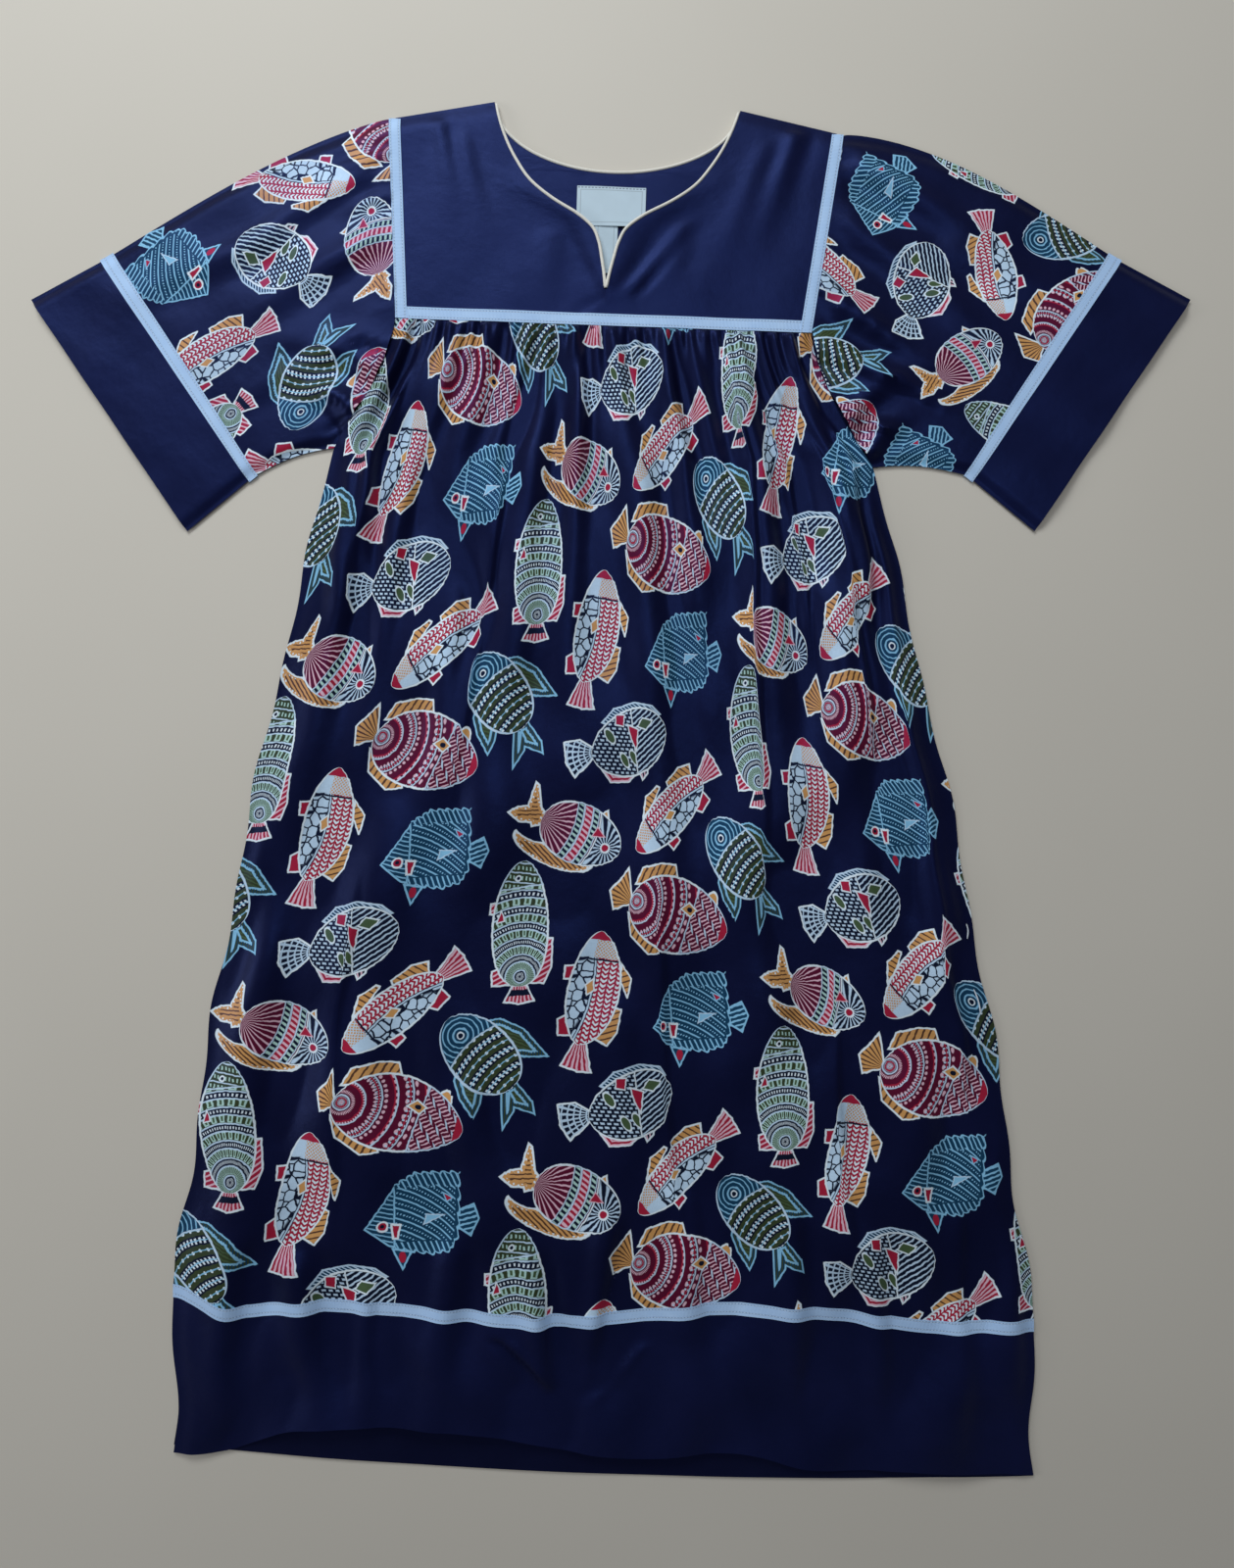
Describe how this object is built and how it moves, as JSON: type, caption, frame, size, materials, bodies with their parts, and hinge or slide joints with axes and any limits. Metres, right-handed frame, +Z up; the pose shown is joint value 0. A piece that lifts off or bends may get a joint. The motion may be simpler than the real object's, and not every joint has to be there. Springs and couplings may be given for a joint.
{
  "type": "short-sleeved yoke dress",
  "caption": "Loose calf-length dress with a square yoke, slit neck, short wide sleeves and a deep plain hem, laid flat front up.",
  "frame": {"origin": "middle of the footprint, on the surface the dress lies on", "axes": "+Y towards the neck, +X to the right as seen from above (the wearer's left), +Z up out of the front"},
  "size_m": [0.9442, 1.1222, 0.0088],
  "materials": {
    "printed_cotton": "plain-weave cotton with a slight sheen, fish motifs on dark navy",
    "navy_cotton": "plain navy cotton with a slight sheen",
    "pale_tape": "pale woven trim tape, matt",
    "cream_piping": "cream bias piping, matt",
    "white_label": "pale woven label"
  },
  "bodies": {
    "dress_body": {"front_yoke": "navy_cotton", "back_yoke": "navy_cotton", "front_neck_facing": "navy_cotton", "back_neck_facing": "navy_cotton", "front_neck_piping": "cream_piping", "back_neck_piping": "cream_piping", "neck_label": "white_label", "care_label": "white_label", "left_yoke_tape": "pale_tape", "right_yoke_tape": "pale_tape", "front_yoke_tape": "pale_tape", "back_yoke_tape": "pale_tape", "front_skirt": "printed_cotton", "back_skirt": "printed_cotton", "left_pocket_bag": "navy_cotton", "right_pocket_bag": "navy_cotton", "left_sleeve_cap": "printed_cotton", "right_sleeve_cap": "printed_cotton", "hem_tape": "pale_tape", "front_hem_band": "navy_cotton", "back_hem_band": "navy_cotton"},
    "left_sleeve_end": {"left_sleeve": "printed_cotton", "left_sleeve_tape": "pale_tape", "left_sleeve_band": "navy_cotton"},
    "right_sleeve_end": {"right_sleeve": "printed_cotton", "right_sleeve_tape": "pale_tape", "right_sleeve_band": "navy_cotton"}
  },
  "joints": [
    {"name": "left_sleeve_fold", "type": "hinge", "parent": "dress_body", "child": "left_sleeve_end", "pos_m": [-0.21594, 0.40722, 0.0095], "axis": [0.1687, 0.9857, 0], "range_deg": [0, 170]},
    {"name": "right_sleeve_fold", "type": "hinge", "parent": "dress_body", "child": "right_sleeve_end", "pos_m": [0.2148, 0.39458, 0.0095], "axis": [0.0948, -0.9955, 0], "range_deg": [0, 150]}
  ]
}
